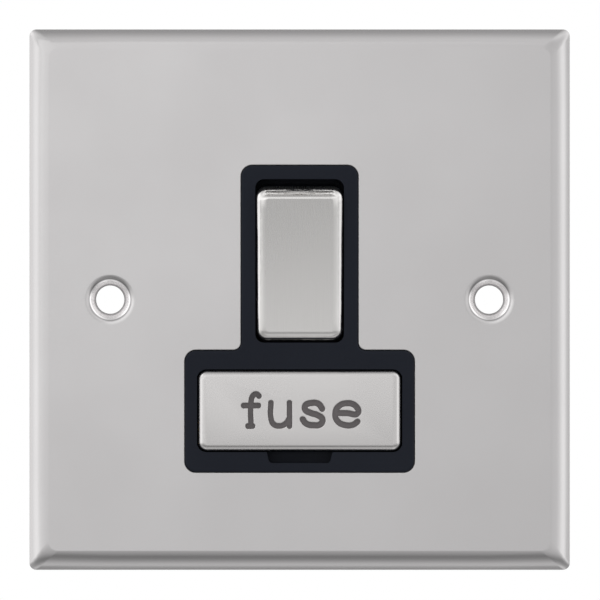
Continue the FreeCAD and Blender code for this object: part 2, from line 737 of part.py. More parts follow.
def make_contact_arms():
    for pole, across in poles:
        hold = {"across": across, "depth": "arm_axis", "height": "rocker_centre"}
        arm = new_body(f"{pole}_contact_arm")
        place(arm, **hold, tilt="-arm_tilt")
        strip = sketch_on(arm, f"{pole}_arm_strip", role="YZ_Plane", lift="-arm_width / 2")
        rectangle(strip, "-arm_thickness / 2", "arm_thickness / 2", "-arm_down", "arm_up")
        pad(arm, strip, "arm_width")
        knuckle = sketch_on(arm, f"{pole}_knuckle", role="YZ_Plane", lift="-arm_width / 2")
        outline(knuckle, [
            ("-arm_thickness / 2", "-knuckle_radius"),
            ("knuckle_radius", "-knuckle_radius", "knuckle_radius - thread_gap / 2"),
            ("knuckle_radius", "knuckle_radius", "knuckle_radius - thread_gap / 2"),
            ("-arm_thickness / 2", "knuckle_radius"),
        ])
        pad(arm, knuckle, "arm_width")
        rivet = new_body(f"{pole}_moving_contact")
        place(rivet, **hold, tilt="-arm_tilt")
        head = sketch_on(rivet, f"{pole}_rivet", role="XY_Plane", lift="contact_reach")
        face = "arm_thickness / 2 + contact_height"
        outline(head, [
            ("0", "arm_thickness / 2"),
            ("contact_radius", "arm_thickness / 2"),
            ("contact_radius", face, "contact_height / 3"),
            ("0", face),
        ])
        turned(rivet, "Revolution", head)


def make_fixed_contacts():
    for pole, across in poles:
        side = "" if pole == "live" else "-"
        strip = new_body(f"{pole}_fixed_strip")
        plan = sketch_on(strip, f"{pole}_fixed_plan", lift="-fixed_strip - strip_thickness")
        inner, outer = "pole_offset - strip_width / 2", "pole_offset + strip_width / 2"
        foot, end = "contact_z - strip_width / 2", "terminal_reach + terminal_width / 2"
        corners = [
            (inner, foot, "strip_corner"),
            (outer, foot, "strip_corner"),
            (outer, "top_foot - strip_width / 4 - strip_run", "strip_corner"),
            (end, "top_foot - strip_width / 4 - strip_run", "strip_corner"),
            (end, "top_foot"),
            ("terminal_reach - terminal_width / 2", "top_foot"),
            ("terminal_reach - terminal_width / 2", "top_foot - strip_width / 4"),
            (inner, "top_foot - strip_width / 4", "strip_corner"),
        ]
        outline(plan, [(f"{side}({c[0]})",) + c[1:] for c in corners])
        pad(strip, plan, "strip_thickness")
        # A rivet with a domed head, which the tilted arm meets at any angle
        shank = doc.addObject("Part::Cylinder", f"{pole}_fixed_shank")
        shank.setExpression("Radius", bound("contact_radius"))
        shank.setExpression("Height", bound("contact_height"))
        shank.Placement = Placement(Vector(), Rotation(Vector(1, 0, 0), 90))
        ball = doc.addObject("Part::Sphere", f"{pole}_fixed_dome")
        ball.setExpression("Radius", bound("dome_radius"))
        place(ball, depth="dome_radius - contact_height")
        rivet = doc.addObject("Part::Common", f"{pole}_fixed_contact")
        rivet.Base = shank
        rivet.Tool = ball
        place(rivet, across=across, depth="fixed_strip", height="contact_z")
        pieces.append(rivet)
        doc.recompute()


def make_pivot_brackets():
    # Each bracket is a flat strip with a cradle for the arm's knuckle at its head.
    inner, outer = "pole_offset - strip_width / 2", "pole_offset + strip_width / 2"
    head = "rocker_centre + cradle_height / 2 + strip_corner"
    clip_low = "fuse_centre - clip_inside"
    clip_high = "fuse_centre + clip_inside"
    clip_right = "clip_reach + clip_width / 2"
    clip_left = "clip_reach - clip_width / 2"
    to_clip = [
        (inner, head, "strip_corner"),
        (outer, head, "strip_corner"),
        (outer, "shoulder_top", "strip_corner"),
        (clip_right, f"{clip_high} - strip_corner", "strip_corner"),
        (clip_right, clip_low, "strip_corner"),
        (clip_left, clip_low, "strip_corner"),
        (clip_left, "fuse_centre + strip_corner", "strip_corner"),
        (inner, "shoulder_top - strip_width / 2", "strip_corner"),
    ]
    to_terminal = [
        (f"-({outer})", head, "strip_corner"),
        (f"-({inner})", head, "strip_corner"),
        (f"-({inner})", "bottom_foot + strip_width", "strip_corner"),
        ("terminal_width / 2", "bottom_foot + strip_width / 2", "strip_corner"),
        ("terminal_width / 2", "bottom_foot"),
        ("-terminal_width / 2", "bottom_foot"),
        (f"-({outer})", "bottom_foot + strip_width / 2", "strip_corner"),
    ]
    for pole, across, plan in (("live", poles[0][1], to_clip), ("neutral", poles[1][1], to_terminal)):
        bracket = new_body(f"{pole}_pivot_bracket")
        strip = sketch_on(bracket, f"{pole}_bracket_plan", lift="-pivot_strip - strip_thickness")
        outline(strip, plan)
        pad(bracket, strip, "strip_thickness")
        cradle = sketch_on(bracket, f"{pole}_cradle", lift="-pivot_strip")
        block(cradle, across, "rocker_centre", "arm_width", "cradle_height")
        pad(bracket, cradle, "pivot_strip - arm_axis - cradle_front")
        start = f"{across} - strip_width / 2"
        groove = sketch_on(bracket, f"{pole}_groove", role="YZ_Plane", lift=start)
        circle(groove, "arm_axis", "rocker_centre", "knuckle_radius + running_gap")
        pocket(bracket, groove, "strip_width", along_normal=True)


def make_load_strip():
    strip = new_body("load_live_strip")
    plan = sketch_on(strip, "load_live_plan", lift="-pivot_strip - strip_thickness")
    clip_right = "clip_reach + clip_width / 2"
    clip_left = "clip_reach - clip_width / 2"
    outline(plan, [
        (f"-({clip_right})", "fuse_centre + clip_inside", "strip_corner"),
        (f"-({clip_right})", "bottom_foot + strip_run", "strip_corner"),
        ("-terminal_reach - terminal_width / 2", "bottom_foot + strip_run", "strip_corner"),
        ("-terminal_reach - terminal_width / 2", "bottom_foot"),
        ("-terminal_reach + terminal_width / 2", "bottom_foot"),
        (f"-({clip_left})", "bottom_foot + strip_run / 3", "strip_corner"),
        (f"-({clip_left})", "fuse_centre + clip_inside", "strip_corner"),
    ])
    pad(strip, plan, "strip_thickness")


def make_fuse_clips():
    # A sprung U: a narrow foot, two prongs beside the fuse and a flared mouth.
    foot = "pivot_strip"
    waist = "fuse_depth + clip_inside"
    flare = "clip_mouth + 2 * clip_flare"
    inside = [
        (f"{foot} - clip_sheet", "clip_foot"),
        (waist, "clip_inside"),
        (flare, "clip_inside"),
        ("clip_mouth", "clip_inside + clip_flare"),
    ]
    outside = [
        ("clip_mouth", "clip_inside + clip_flare + clip_sheet"),
        (flare, "clip_inside + clip_sheet", "clip_flare"),
        (waist, "clip_inside + clip_sheet", "clip_flare"),
        (foot, "clip_foot + clip_sheet", "clip_sheet"),
    ]
    lower_outside = [(c[0], f"-({c[1]})") + c[2:] for c in reversed(outside)]
    lower_inside = [(y, f"-({z})") for y, z in reversed(inside)]
    for name, across in (("fuse_clip_in", "clip_reach"), ("fuse_clip_out", "-clip_reach")):
        clip = new_body(name)
        place(clip, height="fuse_centre")
        form = sketch_on(clip, f"{name}_form", role="YZ_Plane", lift=f"{across} - clip_width / 2")
        outline(form, lower_inside + inside + outside + lower_outside)
        pad(clip, form, "clip_width")


def make_fuse():
    tube = new_body("fuse_tube")
    place(tube, depth="fuse_depth", height="fuse_centre")
    half = "fuse_length / 2 - end_cap_sheet"
    ring = sketch_on(tube, "fuse_ring", role="YZ_Plane", lift=f"-({half})")
    circle(ring, "0", "0", "tube_radius")
    pad(tube, ring, f"2 * ({half})")
    caps = new_body("fuse_end_caps")
    place(caps, depth="fuse_depth", height="fuse_centre")
    for name, start in (
        ("left_cap", "-fuse_length / 2"),
        ("right_cap", "fuse_length / 2 - end_cap_length"),
    ):
        cup = sketch_on(caps, name, role="YZ_Plane", lift=start)
        circle(cup, "0", "0", "fuse_radius")
        pad(caps, cup, "end_cap_length")
    hollow = sketch_on(caps, "cap_hollow", role="YZ_Plane", lift=f"-({half})")
    circle(hollow, "0", "0", "tube_radius + end_cap_gap")
    pocket(caps, hollow, f"2 * ({half})", along_normal=True)


def make_fuse_drawer():
    cap = new_body("fuse_carrier_cap")
    place(cap, height="fuse_centre")
    skin = sketch_on(cap, "drawer_skin", lift="drawer_rim")
    block(skin, "0", "0", "drawer_width", "drawer_height", "fuse_window_corner - drawer_gap / 2")
    shell = pad(cap, skin, "drawer_cap_depth")
    face = -number("drawer_face")
    rounded(cap, shell, lambda edge: at_depth(edge, face), "drawer_cap_edge")
    hollow = sketch_on(cap, "drawer_hollow", lift="drawer_rim")
    inside = [f"{side} - 2 * cap_sheet" for side in ("drawer_width", "drawer_height")]
    block(hollow, "0", "0", *inside, "fuse_window_corner - cap_sheet")
    pocket(cap, hollow, "drawer_cap_depth - cap_sheet", along_normal=True)

    body = new_body("fuse_carrier")
    place(body, height="fuse_centre")
    plug = sketch_on(body, "drawer_plug", lift="drawer_rim")
    eased = [f"{side} - 2 * cap_ease" for side in inside]
    block(plug, "0", "0", *eased, "fuse_window_corner - cap_sheet - cap_ease")
    pad(body, plug, "drawer_cap_depth - cap_sheet - cap_ease")
    front = sketch_on(body, "drawer_front", lift="drawer_back")
    block(front, "0", "0", "drawer_width", "drawer_height", "fuse_window_corner - drawer_gap / 2")
    pad(body, front, "drawer_front")
    cheek_height = "drawer_height - 2 * cheek_inset"
    cheeks = sketch_on(body, "cheeks", lift="-cheek_end")
    hooks = sketch_on(body, "hooks", lift="-cheek_end")
    for side in ("", "-"):
        middle = f"{side}(drawer_width - cheek_thickness) / 2"
        block(cheeks, middle, "0", "cheek_thickness", cheek_height)
        hook_middle = f"{side}(fuse_window_width / 2 + hook_proud - cheek_thickness / 2)"
        block(hooks, hook_middle, "0", "cheek_thickness", "hook_height")
    pad(body, cheeks, "cheek_end + drawer_back")
    pad(body, hooks, "hook_length")
    # The saddle grips the fuse's tube, open at the top so that the fuse lifts out.
    saddle = sketch_on(body, "saddle", role="YZ_Plane", lift="-saddle_width / 2")
    grip = "tube_radius + saddle_gap"
    outline(saddle, [
        ("-drawer_back", f"-({cheek_height}) / 2"),
        ("saddle_back", f"-({cheek_height}) / 2", "saddle_wall"),
        ("saddle_back", "saddle_lip", "saddle_wall / 3"),
        (f"fuse_depth + {grip}", "saddle_lip"),
        (f"fuse_depth + {grip}", f"-({grip})", f"{grip} - cap_ease"),
        (f"fuse_depth - ({grip})", f"-({grip})", f"{grip} - cap_ease"),
        (f"fuse_depth - ({grip})", "saddle_lip"),
        ("-drawer_back", "saddle_lip"),
    ])
    pad(body, saddle, "saddle_width")


def make_terminals():
    # Brass blocks seated on the base's floor: a bore for the wire and a tapped hole for the clamp.
    def terminal(name, across, low, width, bores):
        body = new_body(name)
        form = sketch_on(body, f"{name}_form", role="XY_Plane", lift=low)
        middle = "base_depth - terminal_depth / 2"
        block(form, across, middle, width, "terminal_depth", "terminal_edge")
        pad(body, form, "terminal_length")
        wires = sketch_on(body, f"{name}_bores", role="XY_Plane", lift=low)
        for bore in bores:
            circle(wires, bore, "wire_depth", "wire_radius")
        pocket(body, wires, "terminal_length", along_normal=True)
        taps = sketch_on(body, f"{name}_taps", lift="-base_depth")
        for bore in bores:
            circle(taps, bore, f"{low} + terminal_length / 2", "clamp_radius + thread_gap")
        pocket(body, taps, "terminal_depth - wire_wall - wire_radius", along_normal=True)

    top, bottom, width = "top_foot", "bottom_end", "terminal_width"
    terminal("supply_live_terminal", "terminal_reach", top, width, ["terminal_reach"])
    terminal("supply_neutral_terminal", "-terminal_reach", top, width, ["-terminal_reach"])
    terminal("load_live_terminal", "-terminal_reach", bottom, width, ["-terminal_reach"])
    terminal("load_neutral_terminal", "0", bottom, width, ["0"])
    terminal("earth_terminal", "0", top, "earth_width", ["earth_bore_offset", "-earth_bore_offset"])

    screws = new_body("terminal_screws")
    shank = "clamp_seat - wire_depth - wire_radius - clamp_backed_off"
    front = f"-(clamp_seat - ({shank}))"
    disc(screws, "clamp_shanks", clamp_x, clamp_z, "clamp_radius", front, shank)
    disc(screws, "clamp_heads", clamp_x, clamp_z, "clamp_head_radius", "-clamp_seat", "clamp_head_height")
    back = "clamp_seat + clamp_head_height"
    slot(screws, "clamp_slots", clamp_x, clamp_z, "2 * clamp_head_radius + slot_width", back)


def make_earth_strap():
    # An L on the back of the moulding, from the first stud, with a tab down to the earth block.
    body = new_body("earth_strap")
    half = "strap_width / 2"
    inner = "base_top + strap_rise"
    outer = f"{inner} + strap_width"
    plan = sketch_on(body, "strap_plan", lift="flange_back - strip_thickness")
    outline(plan, [
        (f"-{half}", "top_end"),
        (half, "top_end"),
        (half, inner),
        ("stud_reach - strap_eye", inner, "strip_corner"),
        ("stud_reach - strap_eye", "stud_reach - strap_eye", "strip_corner * 2"),
        ("stud_reach + strap_eye", "stud_reach - strap_eye", "strip_corner * 2"),
        ("stud_reach + strap_eye", outer, "strip_corner * 2"),
        (f"-{half}", outer, "strip_corner * 2"),
    ])
    circle(plan, "stud_reach", "stud_reach", "stud_radius + hole_gap")
    pad(body, plan, "strip_thickness")
    tab = sketch_on(body, "strap_tab", lift="-terminal_front - tab_length")
    rectangle(tab, "-tab_width / 2", "tab_width / 2", "top_end", "top_end + tab_thickness")
    pad(body, tab, "terminal_front + tab_length + flange_back - strip_thickness")


def make_rear_base():
    body = new_body("rear_base")
    middle = "(base_top + base_bottom) / 2"
    height = "base_top - base_bottom"
    floor = sketch_on(body, "base_floor", lift="-base_back")
    block(floor, "0", middle, "base_width", height, "base_corner")
    whole = pad(body, floor, "base_back + flange_back")
    rear = number("base_back")
    rounded(body, whole, lambda edge: at_depth(edge, rear), "base_edge")
    well = sketch_on(body, "base_well", lift="flange_back")
    inside = ("base_width - 2 * base_wall", f"{height} - 2 * base_wall")
    block(well, "0", middle, *inside, "base_corner - base_wall")
    pocket(body, well, "flange_back + base_depth")
    # Pillars that carry the strips
    for name, seat, spots in (
        ("pivot_pillars", "pivot_strip", [
            ("pole_offset", "rocker_centre", "cradle_height"),
            ("-pole_offset", "rocker_centre", "cradle_height"),
            ("clip_reach", "fuse_centre", "2 * clip_foot"),
            ("-clip_reach", "fuse_centre", "2 * clip_foot"),
        ]),
        ("contact_pillars", "fixed_strip", [
            ("pole_offset", "contact_z", "strip_width"),
            ("-pole_offset", "contact_z", "strip_width"),
        ]),
    ):
        pillars = sketch_on(body, name, lift="-base_depth")
        for across, rise, tall in spots:
            block(pillars, across, rise, "strip_width", tall)
        pad(body, pillars, f"base_depth - {seat} - strip_thickness")
    # Ribs that hold each terminal block between them
    ribs = sketch_on(body, "terminal_ribs", lift="-base_depth")
    for across, rise, width in (
        ("terminal_reach", "top_screw", "terminal_width"),
        ("-terminal_reach", "top_screw", "terminal_width"),
        ("0", "top_screw", "earth_width"),
        ("-terminal_reach", "bottom_screw", "terminal_width"),
        ("0", "bottom_screw", "terminal_width"),
    ):
        for side in ("", "-"):
            spot = f"{across} + {side}({width} / 2 + rib_gap + rib_thickness / 2)"
            if "terminal_reach" in across and across.startswith("-") == (side == "-"):
                continue
            block(ribs, spot, rise, "rib_thickness", "terminal_length - 2 * terminal_edge")
    pad(body, ribs, "rib_height")
    # Wire entries above and below, screw access behind
    entries = sketch_on(body, "wire_entries", role="XY_Plane", lift="base_top")
    for bore in ("terminal_reach", "-terminal_reach", "earth_bore_offset", "-earth_bore_offset"):
        circle(entries, bore, "wire_depth", "wire_radius + entry_gap")
    pocket(body, entries, "base_wall")
    exits = sketch_on(body, "wire_exits", role="XY_Plane", lift="base_bottom")
    for bore in ("-terminal_reach", "0"):
        circle(exits, bore, "wire_depth", "wire_radius + entry_gap")
    pocket(body, exits, "base_wall", along_normal=True)
    access = sketch_on(body, "screw_access", lift="-base_back")
    for across, rise in zip(clamp_x, clamp_z):
        circle(access, across, rise, "clamp_head_radius + access_gap")
    for across, rise in zip(post_x, post_z):
        circle(access, across, rise, "screw_radius + hole_gap")
    pocket(body, access, "base_floor", along_normal=True)
    sinks = sketch_on(body, "screw_sinks", lift="-base_back")
    for across, rise in zip(post_x, post_z):
        circle(sinks, across, rise, "screw_head_radius + hole_gap")
    pocket(body, sinks, "screw_head_height", along_normal=True)
    # The earth strap leaves through a notch in the top rim.
    notch = sketch_on(body, "strap_notch", lift="flange_back")
    notch_width = "strap_width / 2 + hole_gap"
    rectangle(notch, f"-({notch_width})", notch_width, "top_end", "base_top + strap_rise")
    pocket(body, notch, "strip_thickness + hole_gap")

    screws = new_body("base_screws")
    seat = "-screw_seat"
    front = "screw_length - screw_seat"
    disc(screws, "screw_shanks", post_x, post_z, "screw_radius", front, "screw_length")
    disc(screws, "screw_heads", post_x, post_z, "screw_head_radius", seat, "screw_head_height")
    slot(screws, "screw_slots", post_x, post_z, "2 * screw_head_radius + slot_width", "base_back")


make_front_plate()
make_plate_fasteners()
make_insert_moulding()
make_rocker()
make_contact_arms()
make_fixed_contacts()
make_pivot_brackets()
make_load_strip()
make_fuse_clips()
make_fuse()
make_fuse_drawer()
make_terminals()
make_earth_strap()
make_rear_base()

os.makedirs("parts", exist_ok=True)
doc.recompute()
for item in doc.Objects:
    if {"Invalid", "Error"} & set(item.State):
        raise ValueError(f"{item.Name} is {item.State}")
for body in pieces:
    shape = body.Shape
    if shape.isNull() or not shape.isValid():
        raise ValueError(f"{body.Label} has no valid shape")
    shape.exportStep(f"parts/{body.Label}.step")
    print(body.Label, len(shape.Solids), round(shape.Volume, 1))
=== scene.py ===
import json
import math
import bmesh
import bpy
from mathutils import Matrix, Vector


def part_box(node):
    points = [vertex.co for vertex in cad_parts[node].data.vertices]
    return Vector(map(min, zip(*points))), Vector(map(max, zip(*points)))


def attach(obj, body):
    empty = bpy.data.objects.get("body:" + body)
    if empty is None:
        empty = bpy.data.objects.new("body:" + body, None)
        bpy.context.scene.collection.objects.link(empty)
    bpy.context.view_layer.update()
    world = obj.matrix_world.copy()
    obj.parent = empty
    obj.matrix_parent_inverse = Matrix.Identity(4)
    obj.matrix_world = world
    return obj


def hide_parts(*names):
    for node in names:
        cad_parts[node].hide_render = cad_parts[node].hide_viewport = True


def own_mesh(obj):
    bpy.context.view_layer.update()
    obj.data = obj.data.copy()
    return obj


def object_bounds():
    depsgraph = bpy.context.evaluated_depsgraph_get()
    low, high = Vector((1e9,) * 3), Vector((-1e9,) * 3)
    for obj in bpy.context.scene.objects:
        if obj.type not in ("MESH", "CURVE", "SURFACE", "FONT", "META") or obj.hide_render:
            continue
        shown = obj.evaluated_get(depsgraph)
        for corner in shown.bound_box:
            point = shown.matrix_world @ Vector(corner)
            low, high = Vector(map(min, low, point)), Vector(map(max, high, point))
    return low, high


# A fused spur unit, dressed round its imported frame. Metres; the front faces -Y and Z is up.
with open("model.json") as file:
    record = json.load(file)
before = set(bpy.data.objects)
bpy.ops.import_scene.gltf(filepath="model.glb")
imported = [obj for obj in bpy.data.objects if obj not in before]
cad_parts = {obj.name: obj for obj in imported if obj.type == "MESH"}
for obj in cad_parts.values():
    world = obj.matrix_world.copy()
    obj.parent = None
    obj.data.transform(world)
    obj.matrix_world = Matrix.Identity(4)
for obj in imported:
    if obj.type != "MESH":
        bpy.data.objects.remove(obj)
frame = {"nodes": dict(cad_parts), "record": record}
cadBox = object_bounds()
nodes = frame["nodes"]
record = frame["record"]
mm = 0.001
print("frame loaded:", len(nodes), "nodes")


# Shader nodes
def newGroup(name, inputs, outputs):
    tree = bpy.data.node_groups.new(name, "ShaderNodeTree")
    for label, kind, value in inputs:
        socket = tree.interface.new_socket(
            label, in_out="INPUT", socket_type="NodeSocket" + kind)
        if value is not None:
            socket.default_value = value
    for label, kind in outputs:
        tree.interface.new_socket(label, in_out="OUTPUT", socket_type="NodeSocket" + kind)
    return tree, tree.nodes.new("NodeGroupInput"), tree.nodes.new("NodeGroupOutput")


def fillSockets(tree, node, sources):
    for socket, source in sources.items():
        if isinstance(source, bpy.types.NodeSocket):
            tree.links.new(source, node.inputs[socket])
        else:
            node.inputs[socket].default_value = source


def addNode(tree, kind, sources=None, **values):
    node = tree.nodes.new("ShaderNode" + kind)
    for key, value in values.items():
        setattr(node, key, value)
    fillSockets(tree, node, sources or {})
    return node


def addMath(tree, operation, *terms, clamp=False):
    sources = dict(enumerate(terms))
    return addNode(tree, "Math", sources, operation=operation, use_clamp=clamp).outputs[0]


def addMix(tree, factor, first, second):
    # Sockets 6 and 7 are the mix node's two colours, and output 2 is the mixed one
    return addNode(tree, "Mix", {0: factor, 6: first, 7: second}, data_type="RGBA").outputs[2]


def addRange(tree, value, low, high, **values):
    sources = {"Value": value, "From Min": low, "From Max": high}
    return addNode(tree, "MapRange", sources, **values).outputs[0]


def addLevels(tree, place, stops):
    # A grey ramp through (place, level) pairs, the first of them at 0
    ramp = addNode(tree, "ValToRGB", {0: place})
    made = ramp.color_ramp.elements
    made.remove(made[1])
    for index, (at, level) in enumerate(stops):
        stop = made.new(at) if index else made[0]
        stop.color = (level, level, level, 1)
    return ramp.outputs[0]


def addPlace(tree, kind="Object"):
    return addNode(tree, "TexCoord").outputs[kind]


# The radius of an edge in millimetres, and how steeply its mask rises
edgeValues = {"radius": 0.15, "samples": 6, "rise": 6.0}


def makeSoftEdge():
    # The small radius that every real edge has, and a mask of where it is
    inputs = [("Radius", "Float", edgeValues["radius"] * mm)]
    tree, start, end = newGroup("softEdge", inputs, [("Normal", "Vector"), ("Mask", "Float")])
    radius = start.outputs["Radius"]
    bevel = addNode(tree, "Bevel", {"Radius": radius}, samples=edgeValues["samples"])
    flat = addNode(tree, "NewGeometry").outputs["Normal"]
    same = addNode(tree, "VectorMath", {0: bevel.outputs[0], 1: flat}, operation="DOT_PRODUCT")
    turned = addMath(tree, "SUBTRACT", 1.0, same.outputs["Value"])
    mask = addMath(tree, "MULTIPLY", turned, edgeValues["rise"], clamp=True)
    fillSockets(tree, end, {"Normal": bevel.outputs[0], "Mask": mask})
    return tree


# The noise of the grain and of the cloud under it, and the part of each that shows
grainValues = {
    "grain": {"Detail": 4.0, "Roughness": 0.6},
    "grainRange": (0.3, 0.7),
    "cloud": {"Scale": 55.0, "Detail": 2.0, "Roughness": 0.5},
    "cloudRange": (0.35, 0.65),
}


def makeFinish():
    # Fine grain over slow clouds: colour, roughness and a shallow relief. Stretch draws it out.
    # Edges take the Edge colour, partly as rubbing and partly as a painted highlight.
    inputs = [
        ("Colour", "Color", (0.5, 0.5, 0.5, 1)),
        ("Blotch", "Color", (0.4, 0.4, 0.4, 1)),
        ("Edge", "Color", (0.7, 0.7, 0.7, 1)),
        ("Roughness", "Float", 0.4),
        ("Spread", "Float", 0.1),
        ("Grain", "Float", 0.3 * mm),
        ("Stretch", "Vector", (1, 1, 1)),
        ("Relief", "Float", 0.004 * mm),
        ("EdgeWearAndHighlight", "Float", 0.3),
        ("Mask", "Float", 0.0),
        ("Normal", "Vector", None),
    ]
    outputs = [("Colour", "Color"), ("Roughness", "Float"), ("Normal", "Vector")]
    tree, start, end = newGroup("finish", inputs, outputs)
    given = start.outputs
    place = addPlace(tree)
    drawn = addNode(tree, "VectorMath", {0: place, 1: given["Stretch"]}, operation="MULTIPLY")
    pitch = addMath(tree, "DIVIDE", 1.0, given["Grain"])
    fine = addNode(tree, "TexNoise", {
        "Vector": drawn.outputs[0], "Scale": pitch, **grainValues["grain"]}).outputs[0]
    slow = addNode(tree, "TexNoise", {"Vector": place, **grainValues["cloud"]}).outputs[0]
    grain = addRange(tree, fine, *grainValues["grainRange"])
    cloud = addRange(tree, slow, *grainValues["cloudRange"])
    share = addMath(tree, "MULTIPLY", addMath(tree, "ADD", grain, cloud), 0.5)
    mixed = addMix(tree, share, given["Colour"], given["Blotch"])
    # The Edge colour along every edge is partly rubbing and partly a painted highlight
    edgeWearAndHighlightShare = addMath(tree, "MULTIPLY", given["Mask"], given["EdgeWearAndHighlight"])
    swing = addMath(tree, "MULTIPLY", addMath(tree, "SUBTRACT", share, 0.5), given["Spread"])
    relief = addNode(tree, "Bump", {
        "Strength": 1.0, "Distance": given["Relief"], "Height": grain, "Normal": given["Normal"]})
    fillSockets(tree, end, {
        "Colour": addMix(tree, edgeWearAndHighlightShare, mixed, given["Edge"]),
        "Roughness": addMath(tree, "ADD", given["Roughness"], swing, clamp=True),
        "Normal": relief.outputs[0],
    })
    return tree


# How bright the metal is painted across a fixing hole's dimple, as a painted highlight on its
# countersink ring and painted shade in a crease round it: (radius in millimetres, level)
dimple = {
    "apart": 60.3,
    "levels": [
        (2.0, 0.8), (2.45, 1.0), (2.6, 1.6), (3.15, 1.6), (3.3, 0.5), (3.42, 0.9), (3.6, 1.15),
        (3.95, 1.0)],
}


def makeDimplePaintedLight():
    # A painted highlight on the countersink round each fixing hole, with painted shade in a crease
    # round it
    tree, start, end = newGroup("dimplePaintedLevel", [], [("Level", "Float")])
    place = addNode(tree, "SeparateXYZ", {0: addPlace(tree)}).outputs
    fromMiddle = addMath(tree, "ABSOLUTE", place["X"])
    across = addMath(tree, "SUBTRACT", fromMiddle, dimple["apart"] / 2 * mm)
    rise = addMath(tree, "POWER", place["Z"], 2.0)
    radius = addMath(tree, "SQRT", addMath(tree, "MULTIPLY_ADD", across, across, rise))
    near, far = dimple["levels"][0][0], dimple["levels"][-1][0]
    share = addRange(tree, radius, near * mm, far * mm)
    stops = [((at - near) / (far - near), level) for at, level in dimple["levels"]]
    fillSockets(tree, end, {"Level": addLevels(tree, share, stops)})
    return tree


softEdge = makeSoftEdge()
dimplePaintedLevel = makeDimplePaintedLight()
finish = makeFinish()
print("shader groups made")

# What each finish looks like; grain, relief and soft are in millimetres
# edge is the colour that edges take, partly rubbing and partly a painted highlight
finishes = {
    "satin_nickel": dict(
        colour=(0.6, 0.588, 0.59), blotch=(0.58, 0.567, 0.568), edge=(0.72, 0.705, 0.7),
        metal=1.0, roughness=0.25, spread=0.04, grain=0.22, relief=0.00012, edgeWearAndHighlight=0.1, soft=0.18,
        paintsDimpleLight=True),
    "plated_steel": dict(
        colour=(0.56, 0.57, 0.6), blotch=(0.47, 0.48, 0.5), edge=(0.75, 0.75, 0.76),
        metal=1.0, roughness=0.34, spread=0.16, grain=0.25, relief=0.0015, edgeWearAndHighlight=0.5, soft=0.1),
    "spring_steel": dict(
        colour=(0.42, 0.43, 0.45), blotch=(0.34, 0.35, 0.37), edge=(0.6, 0.6, 0.6),
        metal=1.0, roughness=0.3, spread=0.12, grain=0.12, relief=0.0008, edgeWearAndHighlight=0.2, soft=0.03),
    "strip_brass": dict(
        colour=(0.72, 0.5, 0.2), blotch=(0.62, 0.4, 0.15), edge=(0.86, 0.68, 0.34),
        metal=1.0, roughness=0.36, spread=0.18, grain=0.2, relief=0.0012, edgeWearAndHighlight=0.5, soft=0.08),
    "terminal_brass": dict(
        colour=(0.74, 0.53, 0.23), blotch=(0.66, 0.45, 0.18), edge=(0.9, 0.74, 0.42),
        metal=1.0, roughness=0.3, spread=0.14, grain=0.15, relief=0.0014, edgeWearAndHighlight=0.6, soft=0.1),
    "copper_alloy": dict(
        colour=(0.66, 0.34, 0.18), blotch=(0.55, 0.26, 0.13), edge=(0.82, 0.5, 0.3),
        metal=1.0, roughness=0.34, spread=0.16, grain=0.2, relief=0.001, edgeWearAndHighlight=0.5, soft=0.06),
    "contact_silver": dict(
        colour=(0.86, 0.85, 0.82), blotch=(0.78, 0.77, 0.73), edge=(0.95, 0.94, 0.92),
        metal=1.0, roughness=0.22, spread=0.12, grain=0.15, relief=0.0008, edgeWearAndHighlight=0.3, soft=0.05),
    "end_cap_nickel": dict(
        colour=(0.66, 0.64, 0.6), blotch=(0.58, 0.56, 0.52), edge=(0.8, 0.78, 0.75),
        metal=1.0, roughness=0.2, spread=0.12, grain=0.3, relief=0.0008, edgeWearAndHighlight=0.3, soft=0.08),
    "black_moulding": dict(
        colour=(0.0165, 0.0195, 0.0285), blotch=(0.0135, 0.016, 0.024), edge=(0.028, 0.033, 0.045),
        metal=0.0, roughness=0.46, spread=0.14, grain=0.16, relief=0.004, edgeWearAndHighlight=0.5, soft=0.12,
        specular=0.1),
    "base_moulding": dict(
        colour=(0.035, 0.035, 0.038), blotch=(0.028, 0.028, 0.03), edge=(0.07, 0.07, 0.075),
        metal=0.0, roughness=0.5, spread=0.16, grain=0.3, relief=0.008, edgeWearAndHighlight=0.5, soft=0.2,
        specular=0.35),
    "white_nylon": dict(
        colour=(0.72, 0.7, 0.62), blotch=(0.66, 0.64, 0.55), edge=(0.8, 0.78, 0.72),
        metal=0.0, roughness=0.4, spread=0.1, grain=0.25, relief=0.002, edgeWearAndHighlight=0.3, soft=0.08,
        specular=0.45),
    "fuse_ceramic": dict(
        colour=(0.78, 0.75, 0.68), blotch=(0.72, 0.69, 0.61), edge=(0.82, 0.8, 0.75),
        metal=0.0, roughness=0.62, spread=0.12, grain=0.2, relief=0.005, edgeWearAndHighlight=0.2, soft=0.08,
        specular=0.4),
    # finishes of single pieces
    "brushed_nickel": dict(
        colour=(0.88, 0.865, 0.85), blotch=(0.82, 0.806, 0.792), edge=(0.9, 0.885, 0.87),
        metal=1.0, roughness=0.3, spread=0.16, grain=0.12, relief=0.0008, edgeWearAndHighlight=0.25, soft=0.2,
        stretch=(1, 0.02, 0.02)),
    "drawer_nickel": dict(
        colour=(0.65, 0.635, 0.63), blotch=(0.635, 0.62, 0.615), edge=(0.78, 0.765, 0.75),
        metal=1.0, roughness=0.27, spread=0.04, grain=0.2, relief=0.0001, edgeWearAndHighlight=0.15, soft=0.2),
    "word_paint": dict(
        colour=(0.19, 0.175, 0.176), blotch=(0.12, 0.11, 0.112), edge=(0.2, 0.19, 0.19),
        metal=0.0, roughness=0.6, spread=0.15, grain=0.12, relief=0.003, edgeWearAndHighlight=0.2, soft=0.05,
        specular=0.3),
}


